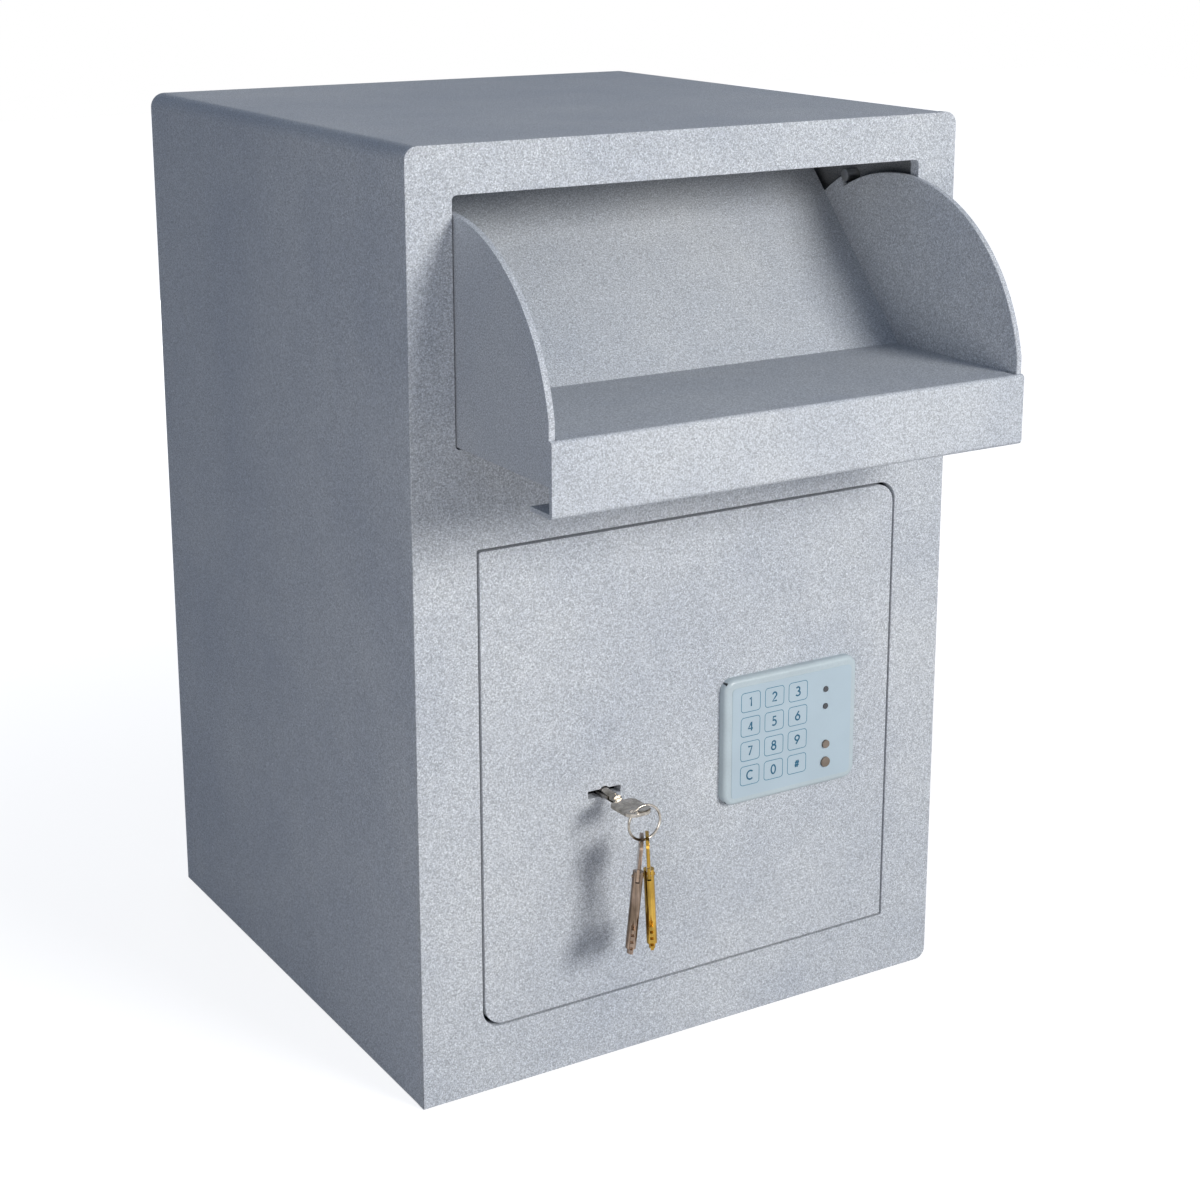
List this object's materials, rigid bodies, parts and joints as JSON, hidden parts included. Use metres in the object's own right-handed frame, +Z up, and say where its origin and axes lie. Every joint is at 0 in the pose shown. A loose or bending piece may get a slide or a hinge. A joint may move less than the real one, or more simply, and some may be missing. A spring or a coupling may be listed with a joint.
{
  "type": "book drop box",
  "caption": "Steel drop safe: tilting hopper with a shelf and grab lip above a flush hinged door with a keypad, a keyhole and keys on a ring.",
  "frame": {"origin": "centre of the body's footprint, on the floor", "axes": "+X to the right of somebody facing the door, +Y into the body, +Z up"},
  "size_m": [0.4, 0.51, 0.6],
  "materials": {
    "body_paint": "fine textured powder coat",
    "zinc_steel": "zinc plated",
    "bright_steel": "turned and ground",
    "dark_steel": "hardened, oil black",
    "nickel": "nickel plated",
    "brass": "polished",
    "keypad_shell": "satin",
    "keypad_film": "fine grained film",
    "lamp_lens": "smoked lens",
    "contact_metal": "tarnished",
    "board_green": "solder mask",
    "cable_jacket": "jacket",
    "black_plastic": "moulded"
  },
  "bodies": {
    "body": {"back_plate": "body_paint", "body_wrapper": "body_paint", "door_stop": "body_paint", "front_plate": "body_paint", "hinge_bracket_lower": "body_paint", "hinge_bracket_upper": "body_paint", "hinge_pin_lower": "zinc_steel", "hinge_pin_upper": "zinc_steel", "housing_baffle": "body_paint", "housing_side_left": "body_paint", "housing_side_right": "body_paint", "pivot_clip_left": "zinc_steel", "pivot_clip_right": "zinc_steel", "pivot_pin_left": "zinc_steel", "pivot_pin_right": "zinc_steel", "pivot_spacer_left": "zinc_steel", "pivot_spacer_right": "zinc_steel", "stop_pin_closed_left": "zinc_steel", "stop_pin_closed_right": "zinc_steel", "stop_pin_open_left": "zinc_steel", "stop_pin_open_right": "zinc_steel"},
    "hopper": {"hopper_side_left": "body_paint", "hopper_side_right": "body_paint", "hopper_tray": "body_paint"},
    "door": {"door_plate": "body_paint", "door_cover": "zinc_steel", "cover_screw_1": "zinc_steel", "cover_screw_2": "zinc_steel", "bolt_guide_upper": "zinc_steel", "bolt_guide_lower": "zinc_steel", "lock_case": "dark_steel", "hard_plate": "dark_steel", "status_lamp_upper": "lamp_lens", "status_lamp_lower": "lamp_lens", "power_contact_small": "contact_metal", "power_contact_large": "contact_metal", "keypad_housing": "keypad_shell", "keypad_membrane": "keypad_film", "keypad_board": "board_green", "keypad_cable": "cable_jacket", "lock_controller": "black_plastic", "battery_box": "black_plastic", "lock_solenoid": "zinc_steel", "solenoid_plunger": "zinc_steel", "hinge_lug_upper": "body_paint", "hinge_lug_lower": "body_paint"},
    "boltwork": {"bolt_upper": "bright_steel", "bolt_lower": "bright_steel", "bolt_bar": "zinc_steel", "drive_plate": "zinc_steel", "bolt_screw_upper": "zinc_steel", "bolt_screw_lower": "zinc_steel"},
    "key": {"key_shaft": "nickel", "key_bow": "nickel", "key_ring": "nickel", "lock_cam": "zinc_steel"},
    "spare_keys": {"spare_brass_bow": "brass", "spare_brass_shaft": "brass", "spare_nickel_bow": "nickel", "spare_nickel_shaft": "nickel"}
  },
  "joints": [
    {"name": "hopper_tilt", "type": "hinge", "parent": "body", "child": "hopper", "pos_m": [0, -0.1855, 0.437], "axis": [-1, 0, 0], "range_deg": [0, 90]},
    {"name": "door_swing", "type": "hinge", "parent": "body", "child": "door", "pos_m": [0.0977, -0.1885, 0.2], "axis": [0, 0, 1], "range_deg": [0, 95]},
    {"name": "bolt_slide", "type": "slide", "parent": "door", "child": "boltwork", "axis": [-1, 0, 0], "range_m": [0, 0.018]},
    {"name": "key_turn", "type": "hinge", "parent": "door", "child": "key", "pos_m": [-0.068, -0.2, 0.1845], "axis": [0, 1, 0], "range_deg": [-90.01, 0]},
    {"name": "spare_keys_hang", "type": "hinge", "parent": "key", "child": "spare_keys", "pos_m": [-0.06206, -0.238, 0.1765], "axis": [0, 1, 0], "range_deg": [0, 90.01]}
  ],
  "couplings": [
    {"joint": "key_turn", "follows": "bolt_slide", "rad_per_m": -87.266},
    {"joint": "spare_keys_hang", "follows": "bolt_slide", "rad_per_m": 87.266}
  ]
}
